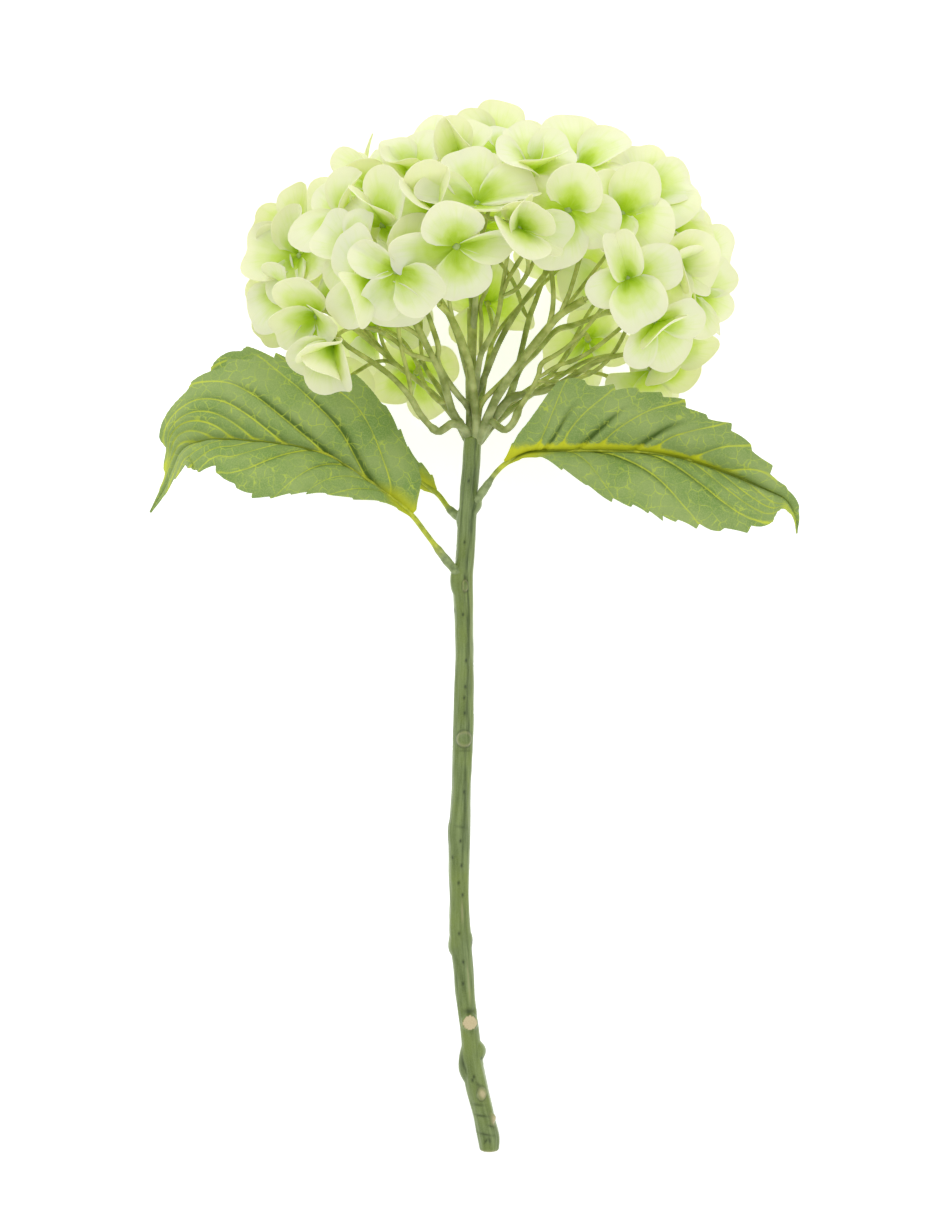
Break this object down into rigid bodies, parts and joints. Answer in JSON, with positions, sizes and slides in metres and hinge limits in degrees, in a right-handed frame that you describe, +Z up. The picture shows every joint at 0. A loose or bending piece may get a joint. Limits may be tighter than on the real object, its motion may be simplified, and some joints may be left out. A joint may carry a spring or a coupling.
{
  "type": "cut hydrangea stem",
  "caption": "Cut mophead hydrangea lying on a surface: a domed head of lime-white florets on branching rays, a knobbly green cane and serrated leaves.",
  "frame": {"origin": "centre of the footprint of the lying stem, on the surface that it lies on", "axes": "+Y from the cut end towards the bloom, +Z up away from the surface, +X to the right seen from above with the bloom at the top"},
  "size_m": [0.2976, 0.4768, 0.1877],
  "materials": {
    "cane_bark": "matt moulded bark with dark flecks",
    "ray_green": "matt moulded olive green",
    "petal_lime_white": "soft, lime at the heart fading to a white edge",
    "leaf_green": "matt printed green with yellow veins"
  },
  "bodies": {
    "root": {"cane": "cane_bark", "flower_branches": "ray_green", "florets": "petal_lime_white", "leaf_left": "leaf_green", "leaf_right": "leaf_green", "leaf_back": "leaf_green"}
  },
  "joints": []
}
